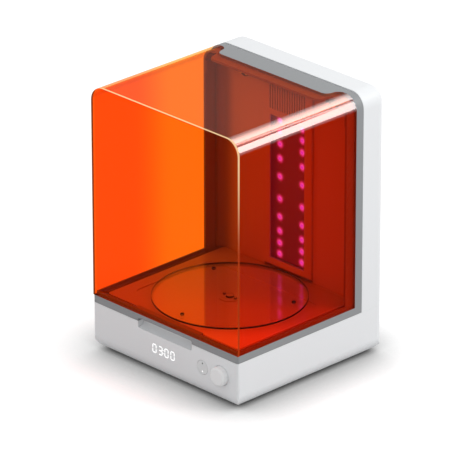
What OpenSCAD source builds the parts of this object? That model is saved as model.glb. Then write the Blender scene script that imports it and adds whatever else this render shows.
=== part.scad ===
// Light curing unit for a dental laboratory: a white base and rear tower, an amber
// cover that swings up about its top rear edge, and a turntable in the chamber.
// X runs across the unit, Y towards its back and Z up; the feet stand on z = 0.

/* [Overall] */
// Width of the housing
body_w = 256; // [246:2:300]
// Depth of the housing, without the knob
body_d = 252; // [246:2:300]
// Height from the table to the top of the arch
body_h = 355; // [345:1:420]
// Height of the seam where the cover closes on the base
seam_z = 64; // [62:1:72]
// Radius of the arch's two top corners
arch_r = 20; // [18:1:26]
// Rounding of the base's lower edges
base_r = 18; // [14:1:20]
// Rounding of the upright edges at the back
rear_r = 10; // [8:1:14]
// Rounding of the base's upright edges at the front
front_r = 3; // [2:0.5:4]
// Wall of the moulded shells
wall = 3; // [2.6:0.1:3.4]

/* [Base] */
// How far the rubber feet stand out below the base
foot_out = 1.5; // [1:0.1:3]
// Radius of a rubber foot
foot_r = 8; // [6:0.5:9]
// Height of the shallow arch under each side of the base
arch_lift = 4.3; // [3:0.1:6]
// Thickness of the bottom plate
plate_t = 2.5; // [2:0.1:3]
// Half width of the finger notch in the front wall
notch_half = 47.5; // [35:0.5:55]
// Depth of the finger notch below the seam
notch_h = 8.8; // [7:0.1:11]

/* [Chamber floor] */
// Height of the reflector tray above the seam
tray_h = 12; // [10:0.5:14]
// Sheet thickness of the reflector tray
tray_t = 2; // [1.6:0.1:2.4]
// Distance from the side of the housing to the tray
tray_side = 12.5; // [12.5:0.1:16]

/* [Rear tower] */
// Depth of the tower
tower_d = 38; // [37:1:50]
// Width of the tower's inner flange round the chamber opening
flange_w = 14; // [12:0.5:16]
// Half width of the window over the lamps
window_half = 30.2; // [28:0.1:40]
// Width of the raised bezel beside the window
bezel_w = 12.5; // [11.5:0.1:14]
// How far the bezel stands out of the back panel
bezel_out = 3.5; // [3:0.1:4]
// Radius of the cove round the back panel
cove_r = 9; // [6:0.5:9.5]
// Number of warm air slots over the window
slot_count = 15; // [9:2:15]
// Spacing of the warm air slots
slot_pitch = 4.25; // [4:0.05:4.8]
// Distance of each lamp column from the middle
lamp_x = 19.5; // [14:0.1:22]
// Side of the square fan
fan_size = 60; // [50:1:60]

/* [Cover] */
// Thickness of the amber sheet
sheet_t = 3; // [2.5:0.1:3.4]
// Height of the grey rim along the bottom of the cover
rim_h = 10; // [8:0.5:12]
// Depth of the rim, from outside to inside
rim_d = 7.5; // [6.5:0.1:8]
// Width of the grey border at the back of the cover's sides
border_w = 12; // [10:0.5:14]
// Width of the grey strip along the top of the arch
strip_w = 32; // [28:0.5:40]
// Half width of the strip's wide middle
strip_half = 86.5; // [76:0.5:88]
// How far the lip behind the amber sheet reaches past the border
lip_reach = 14; // [8:0.5:16]
// Radius of the hinge barrel
hinge_r = 3.5; // [3.3:0.1:4]
// Radius of a hinge pin
pin_r = 1.25; // [1:0.05:1.5]
// Distance of each hinge bracket from the middle
bracket_x = 76; // [60:0.5:82]
// Width of a hinge bracket
bracket_w = 20.5; // [18:0.5:28]

/* [Turntable] */
// Radius of the turntable disc
disc_r = 97.8; // [85:0.2:102]
// Thickness of the turntable disc
disc_t = 3; // [3:0.1:5]
// Radius of the turntable's drive shaft
shaft_r = 3; // [2.5:0.1:4]
// Radius of the gear motor's case
motor_r = 25; // [20:0.5:28]

/* [Controls] */
// Radius of the knob
knob_r = 12.6; // [10:0.1:14]
// How far the knob stands out of the front
knob_out = 8; // [6:0.5:12]
// Distance of the knob from the middle
knob_x = 98.6; // [94:0.1:102]
// Height of the knob and the button above the table
control_z = 39.4; // [37:0.1:42]
// Radius of the round button
button_r = 9.2; // [7:0.1:10]
// Distance of the button from the middle
button_x = 66.3; // [58:0.1:70]
// Travel of the knob and the button when pressed
press = 0.7; // [0.4:0.1:0.9]
// Height of a figure on the time display
digit_h = 12.4; // [9:0.1:14]
// Width of a figure on the time display
digit_w = 7.6; // [6:0.1:9]
// Stroke of a figure on the time display
stroke = 1.7; // [1.2:0.1:2]

/* [Clearances] */
// Gap beside a moving piece
gap = 0.4; // [0.3:0.05:0.5]
// Radial running clearance of a shaft in its hole
run = 0.05; // [0.03:0.01:0.08]
// Radial clearance of a screw in its hole
loose = 0.1; // [0.05:0.05:0.2]

/* [Hidden] */
$fn = 64;
front_y = knob_out - (body_d + knob_out) / 2;
rear_y = (body_d + knob_out) / 2;
half_w = body_w / 2;
tower_y = rear_y - tower_d;
base_z = foot_out;
rim_z = seam_z + rim_h;
tray_z = seam_z + tray_h;
wall_y = front_y + wall;

// Bottom of the base: where its side arches start and end
arch_front = front_y + 61.5;
arch_rear = rear_y - 63;
ramp_front = 14;
ramp_rear = 20.5;
plate_z = base_z + arch_lift + wall;
plate_half = half_w - 28;
plate_front = front_y + 26;
plate_rear = rear_y - 26;
plate_lap = 12;
screw_r = 1.5;
screw_x = plate_half - 6;
screw_ys = [front_y + 52, rear_y - 52];
foot_x = half_w - 31;
foot_ys = [front_y + 28, rear_y - 28];
foot_recess = 1.5;

// Ledge that carries the tray, and the tray
ledge_x = half_w - tray_side - tray_t - 1.5;
tray_x = half_w - tray_side;
tray_front = front_y + 12;
tray_rear = tower_y - gap;
well_half = 97;
well_front = front_y + 38;
well_rear = rear_y - 79;
well_r = 12;
well_t = 1;

// Back panel and what stands behind it
panel_y = tower_y;
panel_t = 2;
panel_back = panel_y + panel_t;
panel_bite = 3.5;
flange_back = panel_back + wall;
bezel_half = window_half + bezel_w;
bezel_y = panel_y - bezel_out;
bezel_back = bezel_y + 2;
bezel_edge = 1.6;
fan_z = body_h - 37.5;
slot_top = fan_z + 17.5;
slot_bottom = fan_z - 25.5;
window_top = slot_bottom - 8;
window_bottom = tray_z + 14;
window_t = 2;
pane_side = 2.5;
pane_up = 3;
lamp_low = window_bottom + 5.5;
lamp_high = window_top - 8.5;
lamp_mid = (lamp_low + lamp_high) / 2;
lamp_half = (lamp_high - lamp_low) / 2;
lamp_steps = [0.167, 0.439, 0.655, 0.833, 1];
board_y = panel_back + 1.9;
board_t = 1.6;
sink_t = 3;
fin_h = 11;
fin_pitch = 7;
fin_t = 1.6;
sink_half = 30;
fan_y = panel_back + 9;
fan_t = 15;
rotor_r = fan_size / 2 - 3;
post_x = fan_size / 2 - 4;
boss_r = 2.5;

// Cover
seat = 0.3;
back_edge = tower_y - seat;
axis_y = back_edge - hinge_r;
axis_z = body_h - hinge_r;
rail_half = strip_half + 17;
border_y = tower_y - border_w;
strip_y = tower_y - strip_w;
bend_r = (strip_w - border_w) / 2;
lip_t = 3;
lip_up = 5;
leaf_t = 3;
leaf_bottom = body_h - 34;
knuckle_r = hinge_r - gap - 0.5;
web_half = 1.2;
guide_front = border_y - lip_reach + 0.5;
guide_top = body_h - arch_r;
guide_h = 17;

// Outline of the back panel, clear of the cover's lip and of the rail as it turns
panel_edge = 1.5;
panel_half = half_w - sheet_t - lip_t - 0.8;
panel_top = axis_z - sqrt(2) * hinge_r - gap;
panel_r = arch_r - half_w + panel_half;
grip_half = notch_half + 9.5;
grip_front = front_y + sheet_t;
grip_rear = tray_front - 1.5;

// Turntable's place, its rim just behind the grip of the shut cover
disc_gap = 3.3;
table_y = grip_rear + disc_gap + disc_r;

// Turntable drive
table_z = tray_z + 1;
bezel_foot = table_z + disc_t + 1;
hub_r = 14;
hub_top = table_z - 0.2;
spigot_r = shaft_r + 2;
bush_r = 7;
motor_top = seam_z - 6;
motor_h = 20;
bracket_t = 2;
post_r = 3;
motor_post_x = motor_r + 6;
motor_post_y = 18;
stud_ring = disc_r - 16;

// Front controls
panel_board_y = front_y + 10;
knob_back = front_y + 2.4;
digit_pitch = 10.7;
digit_z = 30.6;
digit_x = -22.3;
// Strokes lit in each figure, as top, upper right, lower right, bottom, lower left, upper left, middle
zero = [1, 1, 1, 1, 1, 1, 0];
three = [1, 1, 1, 1, 0, 0, 1];
figures = [zero, three, zero, zero];

// Places shared by bosses, holes and screws
board_posts = [[-38, 28], [-38, 47], [81.5, 27], [81.5, 49.5]];
main_half = 66;
main_front = 20;
main_back = 76;
main_posts = [for (x = [6 - main_half, main_half - 6], y = [8 - main_front, main_back - 8]) [x, table_y + y]];
main_z = plate_z + plate_t + 6.7;
tower_posts = [[4 + wall - half_w, tower_y + tower_d / 2], [half_w - wall - 4, tower_y + tower_d / 2],
    [-80, rear_y - wall - 4], [80, rear_y - wall - 4]];
panel_posts = [for (s = [-1, 1], z = [seam_z + 36, seam_z + 136, body_h - 55]) [s * (half_w - 9), z]];
hinge_screw_xs = [for (s = [-1, 1], d = [-4.7, 4.7]) s * bracket_x + d];
hinge_screw_z = leaf_bottom + 5.6;
hinge_boss = 5;
standoff_x = window_half + 7.5;
standoff_zs = [window_bottom + 8, lamp_mid, window_top - 8];
light_zs = [control_z - 5.4, control_z + 5.4];
vent_count = 8;
back_of_rotor = fan_y + fan_t - 2;
jack_x = half_w - 38;
jack_z = 34;
jack_r = 5.4;
magnet_x = notch_half + 14.5;
pin_bite = 8;
rim_cut = 4;

// Placing helpers
module box(x0, x1, y0, y1, z0, z1) {
    translate([x0, y0, z0]) cube([x1 - x0, y1 - y0, z1 - z0]);
}

module along_x(x0, x1) {
    translate([x0, 0, 0]) rotate([90, 0, 90]) linear_extrude(x1 - x0) children();
}

module along_y(y0, y1) {
    translate([0, y1, 0]) rotate([90, 0, 0]) linear_extrude(y1 - y0) children();
}

module rod_x(y, z, r, x0, x1) {
    translate([x0, y, z]) rotate([0, 90, 0]) cylinder(r = r, h = x1 - x0);
}

module rod_y(x, z, r, y0, y1) {
    translate([x, y0, z]) rotate([-90, 0, 0]) cylinder(r = r, h = y1 - y0);
}

module rod_z(x, y, r, z0, z1) {
    translate([x, y, z0]) cylinder(r = r, h = z1 - z0);
}

module both_sides() {
    children();
    mirror([1, 0, 0]) children();
}

module round_box(x, y0, y1, z0, z1, r) {
    box(-x, x, y0 + r, y1 - r, z0, z1);
    box(-x + r, x - r, y0, y1, z0, z1);
    for (s = [-1, 1], y = [y0 + r, y1 - r]) rod_z(s * (x - r), y, r, z0, z1);
}

// Upright sides of half width x and two round top corners
module dome2d(x, top, r, bottom) {
    translate([-x, bottom]) square([2 * x, top - r - bottom]);
    translate([r - x, bottom]) square([2 * (x - r), top - bottom]);
    for (s = [-1, 1]) translate([s * (x - r), top - r]) circle(r);
}

// Front view of the arch
module arch2d(inset, bottom) {
    dome2d(half_w - inset, body_h - inset, arch_r - inset, bottom);
}

// Front view of the back panel
module panel2d(grow, bottom) {
    dome2d(panel_half + grow, panel_top + grow, panel_r + grow, bottom);
}

module arch_ring2d(outer, inner, bottom) {
    difference() {
        arch2d(outer, bottom);
        arch2d(inner, bottom - 1);
    }
}

// Section of a skin from u0 out to u1, with its rear outer corner rounded
module edge2d(u0, u1, y0, y1, r) {
    translate([u0, y0]) square([u1 - u0, y1 - r - y0]);
    translate([u0, y0]) square([u1 - r - u0, y1 - y0]);
    translate([u1 - r, y1 - r]) circle(r);
}

// Solid arch whose rear edge is rounded all the way round
module arch_solid(inset, bottom, y0, y1, edge) {
    x = half_w - inset;
    r = arch_r - inset;
    top = body_h - inset;
    both_sides() {
        translate([0, 0, bottom]) linear_extrude(top - r - bottom) edge2d(0, x, y0, y1, edge);
        translate([x - r, 0, top - r]) rotate([-90, 0, 0]) rotate([0, 0, -90])
            rotate_extrude(angle = 90) edge2d(0, r, y0, y1, edge);
    }
    along_x(r - x, x - r) mirror([1, -1]) edge2d(top - r, top, y0, y1, edge);
}

// Outline of the base seen from above
module plan2d(inset) {
    x = half_w - inset;
    y0 = front_y + inset;
    y1 = rear_y - inset;
    rf = max(front_r - inset, 0.5);
    rr = rear_r - inset;
    translate([rf - x, y0]) square([2 * (x - rf), rf]);
    translate([-x, y0 + rf]) square([2 * x, y1 - y0 - rf - rr]);
    translate([rr - x, y1 - rr]) square([2 * (x - rr), rr]);
    for (s = [-1, 1]) {
        translate([s * (x - rf), y0 + rf]) circle(rf);
        translate([s * (x - rr), y1 - rr]) circle(rr);
    }
}

// Upright section of the base from a0 to a1, with rounded lower corners
module tub2d(a0, a1, inset, top) {
    r = base_r - inset;
    low = base_z + inset;
    translate([a0 + inset, low + r]) square([a1 - a0 - 2 * inset, top - low - r]);
    translate([a0 + inset + r, low]) square([a1 - a0 - 2 * (inset + r), r]);
    for (a = [a0 + inset + r, a1 - inset - r]) translate([a, low + r]) circle(r);
}

// Shallow arch under each side of the base
module side_arch2d(inset) {
    low = base_z + inset;
    polygon([[arch_front, 0 - low], [arch_front, low], [arch_front + ramp_front, low + arch_lift],
        [arch_rear - ramp_rear, low + arch_lift], [arch_rear, low], [arch_rear, 0 - low]]);
}

module tub(inset, top) {
    intersection() {
        along_y(front_y, rear_y) tub2d(-half_w, half_w, inset, top);
        along_x(-half_w, half_w) difference() {
            tub2d(front_y, rear_y, inset, top);
            side_arch2d(inset);
        }
        linear_extrude(top) plan2d(inset);
    }
}

// Plan of the strip along the top of the cover's frame: deep in the middle, with an
// S-curve at each end down to the border; reach moves its front edge forward
module strip2d(reach) {
    y = strip_y - reach;
    back = back_edge - y;
    end = strip_half + 2 * bend_r;
    both_sides() {
        translate([0, y]) square([strip_half, back]);
        translate([strip_half, y + bend_r]) circle(bend_r);
        translate([strip_half, y + bend_r]) square([bend_r, back - bend_r]);
        difference() {
            translate([strip_half + bend_r, y + bend_r]) square([bend_r, back - bend_r]);
            translate([end, y + bend_r]) circle(bend_r);
        }
        translate([end, y + 2 * bend_r]) square([half_w + 1 - end, back - 2 * bend_r]);
    }
}

// One stroke of a figure, pointed at both ends, along X from the origin
module stroke2d(length, width) {
    e = width / 2;
    polygon([[0, 0], [e, e], [length - e, e], [length, 0], [length - e, -e], [e, -e]]);
}

// One lit figure; slack draws the strokes that much smaller all round
module figure2d(lit, slack) {
    e = stroke / 2;
    tip = 0.1 + slack;
    across = digit_w - stroke - 2 * tip;
    up = (digit_h - stroke) / 2 - 2 * tip;
    thick = stroke - 2 * slack;
    low = e + tip;
    high = digit_h / 2 + tip;
    if (lit[0]) translate([e + tip, digit_h - e]) stroke2d(across, thick);
    if (lit[1]) translate([digit_w - e, high]) rotate(90) stroke2d(up, thick);
    if (lit[2]) translate([digit_w - e, low]) rotate(90) stroke2d(up, thick);
    if (lit[3]) translate([e + tip, e]) stroke2d(across, thick);
    if (lit[4]) translate([e, low]) rotate(90) stroke2d(up, thick);
    if (lit[5]) translate([e, high]) rotate(90) stroke2d(up, thick);
    if (lit[6]) translate([e + tip, digit_h / 2]) stroke2d(across, thick);
}

module figures2d(slack) {
    for (i = [0 : len(figures) - 1])
        translate([digit_x + i * digit_pitch, digit_z]) figure2d(figures[i], slack);
}

// Finger notch seen from the front, with its two lower corners rounded
module notch2d() {
    r = 2.5;
    low = seam_z - notch_h;
    translate([-notch_half, low + r]) square([2 * notch_half, notch_h]);
    translate([r - notch_half, low]) square([2 * (notch_half - r), notch_h]);
    for (s = [-1, 1]) translate([s * (notch_half - r), low + r]) circle(r);
}

// Pan head screw along +Z with the underside of its head at the origin
module screw(length) {
    translate([0, 0, -1.8]) cylinder(r = 2.8, h = 1.8);
    cylinder(r = screw_r, h = length);
}

module screw_hole(length) {
    cylinder(r = screw_r + loose, h = length);
}

// Base
module base_shell() {
    scoop_r = tray_front - front_y;
    ledge_front = tray_front + tray_t + 1.5;
    ledge_rear = tower_y - 4;
    color("#e2e4e6") difference() {
        union() {
            difference() {
                tub(0, seam_z);
                tub(wall, seam_z - wall);
                box(-ledge_x, ledge_x, ledge_front, ledge_rear, seam_z - wall - 1, seam_z + 1);
                box(-60, 60, tower_y + 10, rear_y - 10, seam_z - wall - 1, seam_z + 1);
                box(plate_lap - plate_half, plate_half - plate_lap, plate_front + plate_lap,
                    plate_rear - plate_lap, 0, plate_z + 1);
            }
            // Thick wall behind the finger notch
            box(-notch_half - wall, notch_half + wall, front_y + wall / 2, ledge_front,
                seam_z - notch_h - wall, seam_z);
            both_sides() for (y = screw_ys) rod_z(screw_x, y, 4, base_z + wall / 2, plate_z);
            for (p = board_posts) rod_y(p[0], p[1], 2.6, wall_y - 1, panel_board_y);
        }
        intersection() {
            along_y(front_y - 1, ledge_front) notch2d();
            rod_x(front_y, seam_z - notch_h + scoop_r, scoop_r, -half_w, half_w);
        }
        rod_y(knob_x, control_z, knob_r + gap, front_y - 1, wall_y + 1);
        rod_y(button_x, control_z, button_r + seat, front_y - 1, wall_y + 1);
        along_y(front_y - 1, wall_y + 1) figures2d(0);
        rod_y(jack_x, jack_z, jack_r + loose, rear_y - wall - 1, rear_y + 1);
        both_sides() {
            for (y = foot_ys) rod_z(foot_x, y, foot_r + 0.2, 0, base_z + foot_recess);
            for (y = screw_ys) {
                translate([screw_x, y, base_z - 1]) cylinder(r = 3.2, h = 3);
                translate([screw_x, y, base_z]) screw_hole(plate_z);
            }
        }
        for (p = tower_posts) translate([p[0], p[1], seam_z - wall - 1]) screw_hole(wall + 2);
        for (p = board_posts) translate([p[0], panel_board_y + 1, p[1]]) rotate([90, 0, 0]) screw_hole(7);
    }
}

// Bottom plate with its air slots and the studs for the main board
module base_plate() {
    top = plate_z + plate_t;
    color("#8f9294") difference() {
        union() {
            box(-plate_half, plate_half, plate_front, plate_rear, plate_z, top);
            for (p = main_posts) rod_z(p[0], p[1], 3, plate_z, main_z);
        }
        for (i = [-5 : 5]) both_sides() box(30, 70, i * 7 - 1.5, i * 7 + 1.5, plate_z - 1, top + 1);
        both_sides() for (y = screw_ys) translate([screw_x, y, plate_z - 1]) screw_hole(plate_t + 2);
        for (p = main_posts) translate([p[0], p[1], main_z - 6]) screw_hole(7);
    }
}

module rubber_feet() {
    color("#2c2d2f") both_sides() for (y = foot_ys) {
        rod_z(foot_x, y, foot_r - 1, 0, 1);
        rod_z(foot_x, y, foot_r, 1, base_z + foot_recess);
    }
}

module base_screws() {
    color("#b8bcc0") both_sides() for (y = screw_ys)
        translate([screw_x, y, base_z + 2]) screw(plate_z + plate_t - base_z - 2);
}

// Reflector tray with a shallow well under the disc and studs for the motor bracket
module chamber_floor() {
    low = tray_z - tray_t;
    color("#b4b6b8") difference() {
        union() {
            difference() {
                round_box(tray_x, tray_front, tray_rear, seam_z, tray_z, 5);
                round_box(tray_x - tray_t, tray_front + tray_t, tray_rear - tray_t, seam_z - 1, low, 3);
            }
            for (x = [-1, 1], y = [-1, 1])
                rod_z(x * motor_post_x, table_y + y * motor_post_y, post_r, motor_top + bracket_t, low + 1);
        }
        round_box(well_half, well_front, well_rear, tray_z - well_t, tray_z + 1, well_r);
        rod_z(0, table_y, bush_r + run, seam_z, tray_z + 1);
        for (x = [-1, 1], y = [-1, 1])
            translate([x * motor_post_x, table_y + y * motor_post_y, motor_top]) screw_hole(8);
    }
}

// Rear tower
module tower_shell() {
    color("#e2e4e6") difference() {
        union() {
            difference() {
                arch_solid(0, seam_z, tower_y, rear_y, rear_r);
                arch_solid(wall, seam_z - 1, flange_back, rear_y - wall, rear_r - wall);
                along_y(tower_y - 1, panel_back) panel2d(gap, seam_z - 1);
                along_y(tower_y - 1, flange_back + 1) arch2d(flange_w, seam_z - 1);
                // Room for the fan's upper bosses
                box(-post_x - boss_r - 1, post_x + boss_r + 1, panel_back, flange_back + 1,
                    body_h - flange_w - 1, fan_z + post_x + boss_r + 1);
            }
            for (p = tower_posts) rod_z(p[0], p[1], 4.5, seam_z, seam_z + 14);
        }
        for (i = [0 : vent_count - 1])
            box(-30, 30, rear_y - wall - 1, rear_y + 1, fan_z - 24 + i * 6, fan_z - 21 + i * 6);
        for (p = tower_posts) translate([p[0], p[1], seam_z - 1]) screw_hole(12);
        for (p = panel_posts) translate([p[0], flange_back + 1, p[1]]) rotate([90, 0, 0])
            screw_hole(wall + 2);
    }
}

module tower_screws() {
    color("#b8bcc0") for (p = tower_posts) translate([p[0], p[1], seam_z - wall]) screw(wall + 9);
}

// Section of the cove that carries the back panel forward to the cover's lip; u is its outer edge
module cove2d(u) {
    translate([u - panel_edge - cove_r, panel_y - cove_r]) difference() {
        square([cove_r + panel_edge, cove_r + panel_t]);
        circle(cove_r);
    }
}

module cove() {
    low = tray_z + seat;
    side_top = panel_top - panel_r;
    both_sides() {
        translate([0, 0, low]) linear_extrude(side_top - low) cove2d(panel_half);
        translate([panel_half - panel_r, 0, side_top]) rotate([-90, 0, 0]) rotate([0, 0, -90])
            rotate_extrude(angle = 90) cove2d(panel_r);
    }
    along_x(panel_r - panel_half, panel_half - panel_r) mirror([1, -1]) cove2d(panel_top);
}

// Section of the raised bezel seen from above, with its two front edges rounded
module bezel2d() {
    r = 1.5;
    translate([r - bezel_half, bezel_y]) square([2 * (bezel_half - r), bezel_out + 1]);
    translate([-bezel_half, bezel_y + r]) square([2 * bezel_half, bezel_out + 1 - r]);
    for (s = [-1, 1]) translate([s * (bezel_half - r), bezel_y + r]) circle(r);
}

// Back wall of the chamber: a dished panel whose raised bezel holds the lamp window and the
// warm air slots; the disc's rim runs under the bezel's foot
module back_panel() {
    color("#c9cbcd") difference() {
        union() {
            along_y(panel_y, panel_back) panel2d(0, seam_z);
            cove();
            translate([0, 0, bezel_foot]) linear_extrude(panel_top - panel_edge - bezel_foot) bezel2d();
            for (x = [-1, 1], z = [-1, 1])
                rod_y(x * post_x, fan_z + z * post_x, boss_r, panel_back - 1, fan_y);
            for (x = hinge_screw_xs) rod_y(x, hinge_screw_z, 4, panel_back - 1, panel_back + hinge_boss);
        }
        box(-window_half, window_half, bezel_y - 1, panel_back + 1, window_bottom, window_top);
        box(bezel_edge - bezel_half, bezel_half - bezel_edge, bezel_back, panel_back + 1,
            window_bottom - pane_up - gap, window_top + pane_up + gap);
        box(-bezel_half, bezel_half, panel_y - 1, panel_back + 1, tray_z, bezel_foot);
        for (i = [0 : slot_count - 1]) {
            x = (i - (slot_count - 1) / 2) * slot_pitch;
            box(x - 1, x + 1, panel_y - cove_r, panel_back + 1, slot_bottom, slot_top);
        }
        // Notches in the cove for the hinge leaves
        for (s = [-1, 1])
            box(s * bracket_x - bracket_w / 2 - gap, s * bracket_x + bracket_w / 2 + gap,
                panel_y - cove_r - 1, panel_y, leaf_bottom, panel_top + 1);
        for (p = panel_posts)
            translate([p[0], panel_back + 1, p[1]]) rotate([90, 0, 0]) screw_hole(panel_bite + 1.2);
        for (x = hinge_screw_xs) translate([x, panel_y - 1, hinge_screw_z]) rotate([-90, 0, 0])
            screw_hole(panel_t + hinge_boss + 2);
        for (x = [-1, 1], z = [-1, 1])
            translate([x * post_x, fan_y + 1, fan_z + z * post_x]) rotate([90, 0, 0]) screw_hole(7);
    }
}

module panel_screws() {
    color("#b8bcc0") for (p = panel_posts)
        translate([p[0], flange_back, p[1]]) rotate([90, 0, 0]) screw(wall + panel_bite);
}

// Lamps
module led_window() {
    color("#dfe6ec", 0.4) box(-window_half - pane_side, window_half + pane_side, bezel_back,
        bezel_back + window_t, window_bottom - pane_up, window_top + pane_up);
}

module led_board() {
    color("#f2f3f2") difference() {
        box(-standoff_x - 4, standoff_x + 4, board_y, board_y + board_t, window_bottom - 2, window_top + 2);
        for (z = standoff_zs) both_sides()
            translate([standoff_x, board_y - 1, z]) rotate([-90, 0, 0]) screw_hole(board_t + 2);
    }
}

// Each lamp is a square package under a round lens
module leds() {
    color("#f0a0e0") for (side = [-1, 1], s = [-1, 1], k = lamp_steps) {
        z = lamp_mid + s * k * lamp_half;
        x = side * lamp_x;
        box(x - 1.75, x + 1.75, board_y - 0.8, board_y, z - 1.75, z + 1.75);
        rod_y(x, z, 1.4, board_y - 1.9, board_y - 0.7);
    }
}

// Studs on the bezel whose thin ends are riveted over behind the board
module led_standoffs() {
    color("#c8b070") for (z = standoff_zs) both_sides() {
        rod_y(standoff_x, z, 3, bezel_back, board_y);
        rod_y(standoff_x, z, screw_r, board_y - 1, board_y + board_t + 0.8);
        rod_y(standoff_x, z, 2.6, board_y + board_t, board_y + board_t + 0.8);
    }
}

module heat_sink() {
    y = board_y + board_t;
    low = window_bottom + 2;
    high = window_top - 2;
    color("#a9adb1") {
        box(-sink_half, sink_half, y, y + sink_t, low, high);
        for (i = [-4 : 4])
            box(i * fin_pitch - fin_t / 2, i * fin_pitch + fin_t / 2, y + sink_t - 0.5, y + sink_t + fin_h,
                low, high);
    }
}

// Warm air fan
module fan_frame() {
    h = fan_size / 2;
    back = fan_y + fan_t;
    color("#2b2c2e") difference() {
        union() {
            difference() {
                box(-h, h, fan_y, back, fan_z - h, fan_z + h);
                rod_y(0, fan_z, rotor_r + 0.6, fan_y - 1, back + 1);
            }
            for (a = [45, 135]) translate([0, 0, fan_z]) rotate([0, a, 0])
                box(-rotor_r - 1, rotor_r + 1, back - 2.4, back, -1.5, 1.5);
            rod_y(0, fan_z, 12, back - 2.4, back);
            rod_y(0, fan_z, 1.5, fan_y + 3.5, back - 2);
        }
        for (x = [-1, 1], z = [-1, 1])
            translate([x * post_x, fan_y - 1, fan_z + z * post_x]) rotate([-90, 0, 0]) screw_hole(fan_t + 2);
    }
}

module fan_rotor() {
    blades = 7;
    color("#3a3b3e") difference() {
        union() {
            rod_y(0, fan_z, 12, fan_y + 2, fan_y + fan_t - 3);
            translate([0, fan_y + 6.8, fan_z]) for (i = [0 : blades - 1]) rotate([0, i * 360 / blades, 0])
                translate([11, 0, 0]) rotate([40, 0, 0])
                    translate([0, -5.5, -0.6]) cube([rotor_r - 11.4, 11, 1.2]);
        }
        rod_y(0, fan_z, 1.5 + run, fan_y + 3, back_of_rotor);
    }
}

module fan_screws() {
    color("#b8bcc0") for (x = [-1, 1], z = [-1, 1])
        translate([x * post_x, fan_y + fan_t, fan_z + z * post_x]) rotate([90, 0, 0]) screw(fan_t + 4);
}

// Finned heater between the slots and the fan
module air_heater() {
    h = 21;
    color("#9a7b4f") difference() {
        box(-h, h, panel_back, fan_y - 1.5, fan_z - h, fan_z + h);
        for (i = [-3 : 3])
            box(i * 5.6 - 1.9, i * 5.6 + 1.9, panel_back - 1, fan_y, fan_z - h + 3, fan_z + h - 3);
    }
}

module temperature_probe() {
    color("#d8d2c0") rod_y(window_half + 6, fan_z - 20, 2, panel_back, panel_back + 8);
}

// Electronics in the base
module main_board() {
    color("#2f6b45") difference() {
        box(-main_half, main_half, table_y - main_front, table_y + main_back, main_z, main_z + board_t);
        for (p = main_posts) translate([p[0], p[1], main_z - 1]) screw_hole(board_t + 2);
    }
}

module board_components() {
    top = main_z + board_t;
    y = table_y;
    color("#26282a") {
        box(-40, -22, y + 36, y + 56, top, top + 12);
        box(-12, 4, y + 44, y + 60, top, top + 3);
        box(20, 46, y + 34, y + 50, top, top + 9);
        box(-50, -30, y, y + 8, top, top + 8);
        box(26, 50, y, y + 8, top, top + 8);
        for (x = [-8, 6]) rod_z(x, y + 24, 5, top, top + 12);
    }
}

module board_screws() {
    color("#b8bcc0") {
        for (p = main_posts) translate([p[0], p[1], main_z + board_t]) mirror([0, 0, 1]) screw(board_t + 4);
        for (p = board_posts)
            translate([p[0], panel_board_y + board_t, p[1]]) rotate([90, 0, 0]) screw(board_t + 4);
    }
}

// Power inlet: a barrel jack held against the inside of the back wall
module dc_jack() {
    color("#1f2022") difference() {
        union() {
            rod_y(jack_x, jack_z, jack_r, rear_y - 14, rear_y - 0.5);
            box(jack_x - 8, jack_x + 8, rear_y - wall - 4, rear_y - wall, jack_z - 8, jack_z + 8);
        }
        rod_y(jack_x, jack_z, 2.9, rear_y - 10, rear_y);
    }
    color("#c9ccd0") rod_y(jack_x, jack_z, 1, rear_y - 10, rear_y - 2);
}

// Board behind the front wall that carries the display, the button's switch and the encoder
module display_board() {
    color("#2f6b45") difference() {
        box(-46, knob_x + 14, panel_board_y, panel_board_y + board_t, 24, seam_z - notch_h - wall - 1);
        for (p = board_posts)
            translate([p[0], panel_board_y - 1, p[1]]) rotate([-90, 0, 0]) screw_hole(board_t + 2);
    }
}

// Light guide whose lit strokes stand flush in the front wall
module display_digits() {
    left = digit_x - 3;
    right = digit_x + (len(figures) - 1) * digit_pitch + digit_w + 3;
    color("#ffffff") {
        along_y(front_y, wall_y + 1) figures2d(0.06);
        box(left, right, wall_y, panel_board_y, digit_z - 2, digit_z + digit_h + 2);
    }
}

// Knob
module encoder_body() {
    color("#5a5d60") difference() {
        box(knob_x - 7, knob_x + 7, knob_back + 1.1, panel_board_y, control_z - 7, control_z + 7);
        rod_y(knob_x, control_z, 4.5 + run, knob_back, panel_board_y + 1);
    }
}

module encoder_plunger() {
    color("#8b8e91") difference() {
        rod_y(knob_x, control_z, 4.5, knob_back + seat, panel_board_y - 1.5);
        rod_y(knob_x, control_z, 3 + run, knob_back, panel_board_y);
    }
}

module encoder_shaft() {
    color("#c4c7ca") rod_y(knob_x, control_z, 3, front_y - knob_out + 3, panel_board_y - 1.5);
}

// The knob's front edge is a wide chamfer round a flat face
module knob() {
    face_r = knob_r - 2.6;
    depth = knob_back - front_y + knob_out;
    color("#dfe1e3") translate([knob_x, knob_back, control_z]) rotate([90, 0, 0]) rotate_extrude()
        polygon([[3 + run, 0], [knob_r, 0], [knob_r, depth - 2.2], [knob_r - 0.6, depth - 1.2],
            [face_r, depth], [0, depth], [0, depth - 3], [3 + run, depth - 3]]);
}

// Round button
module mode_button() {
    color("#dcdee0") difference() {
        union() {
            rod_y(button_x, control_z, button_r, front_y, wall_y + 1);
            rod_y(button_x, control_z, button_r + 1.6, wall_y + seat, wall_y + 1.6);
            rod_y(button_x, control_z, 2.5, wall_y + 1, wall_y + 3);
        }
        for (z = light_zs) rod_y(button_x, z, 1 + run, front_y - 1, wall_y + 3);
    }
}

module button_lights() {
    color("#ffffff") for (z = light_zs) rod_y(button_x, z, 1, front_y, wall_y + 1.6);
}

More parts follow.
